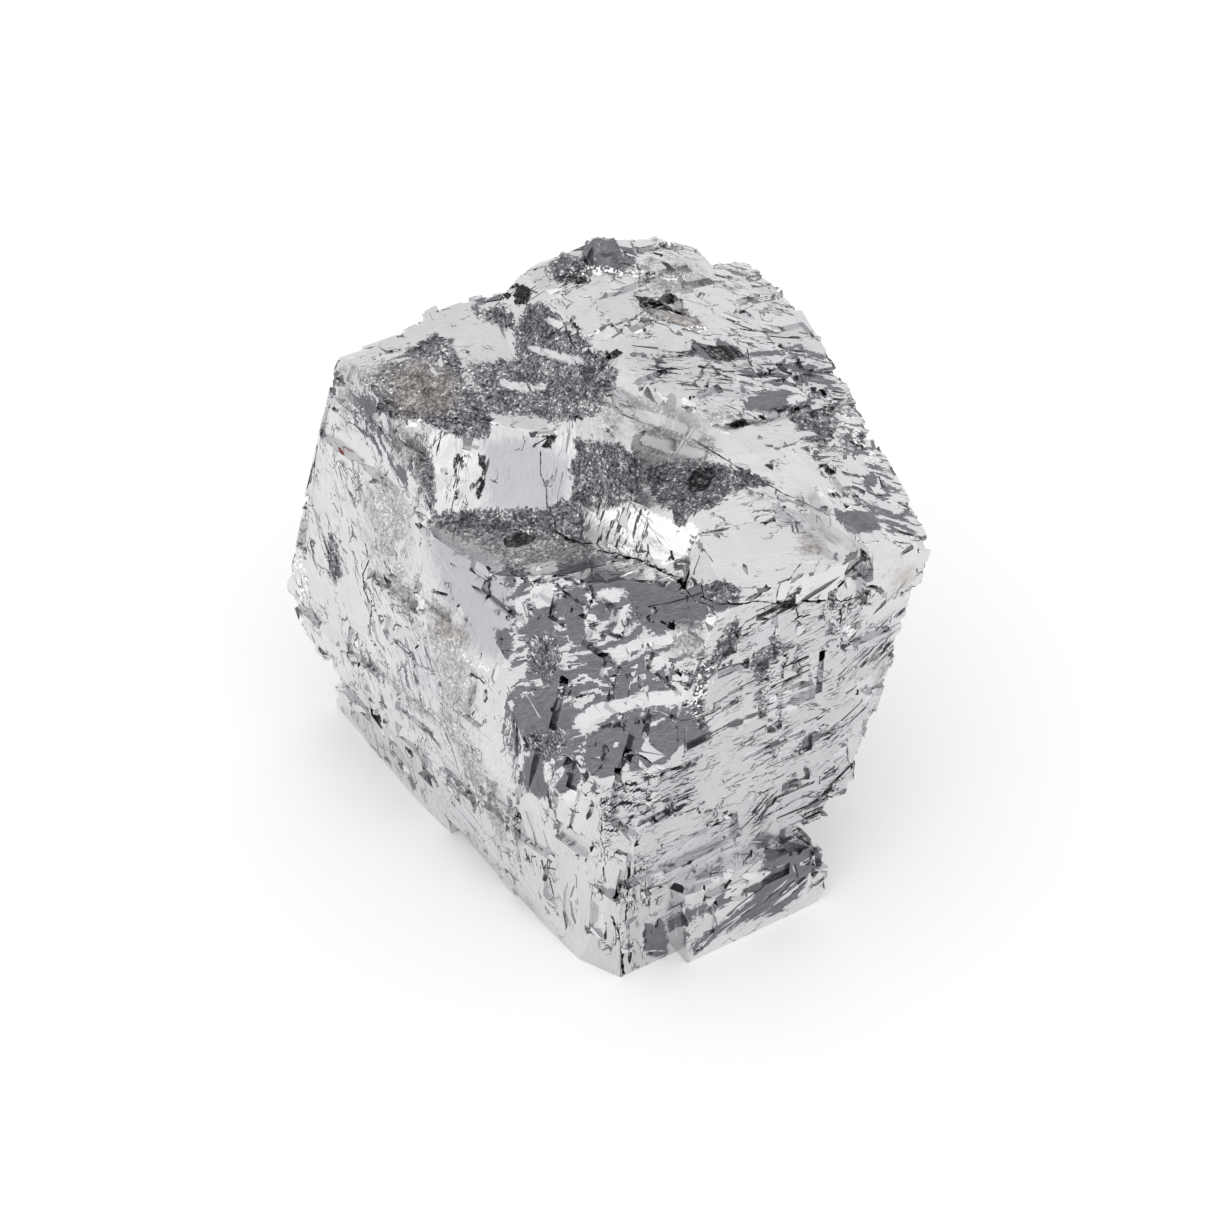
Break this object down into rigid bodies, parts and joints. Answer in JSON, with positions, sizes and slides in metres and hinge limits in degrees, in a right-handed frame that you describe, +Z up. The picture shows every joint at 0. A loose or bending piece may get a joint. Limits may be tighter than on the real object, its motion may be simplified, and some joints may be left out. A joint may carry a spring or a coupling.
{
  "type": "galena specimen",
  "caption": "Hand-size lump of galena: a blocky cleaved lead-ore crystal with stepped right-angled ledges, lying on a broken flat, for display.",
  "frame": {"origin": "middle of the bounding box, on the surface that the lump lies on", "axes": "+Z up; X, Y and Z follow the crystal's three cleavage directions, and the sharp front edge of the lump is at -X, -Y"},
  "size_m": [0.0358, 0.0394, 0.037],
  "materials": {
    "galena": "bright lead-grey metallic cleavage, with duller stepped and granular patches"
  },
  "bodies": {
    "root": {"galena": "galena"}
  },
  "joints": []
}
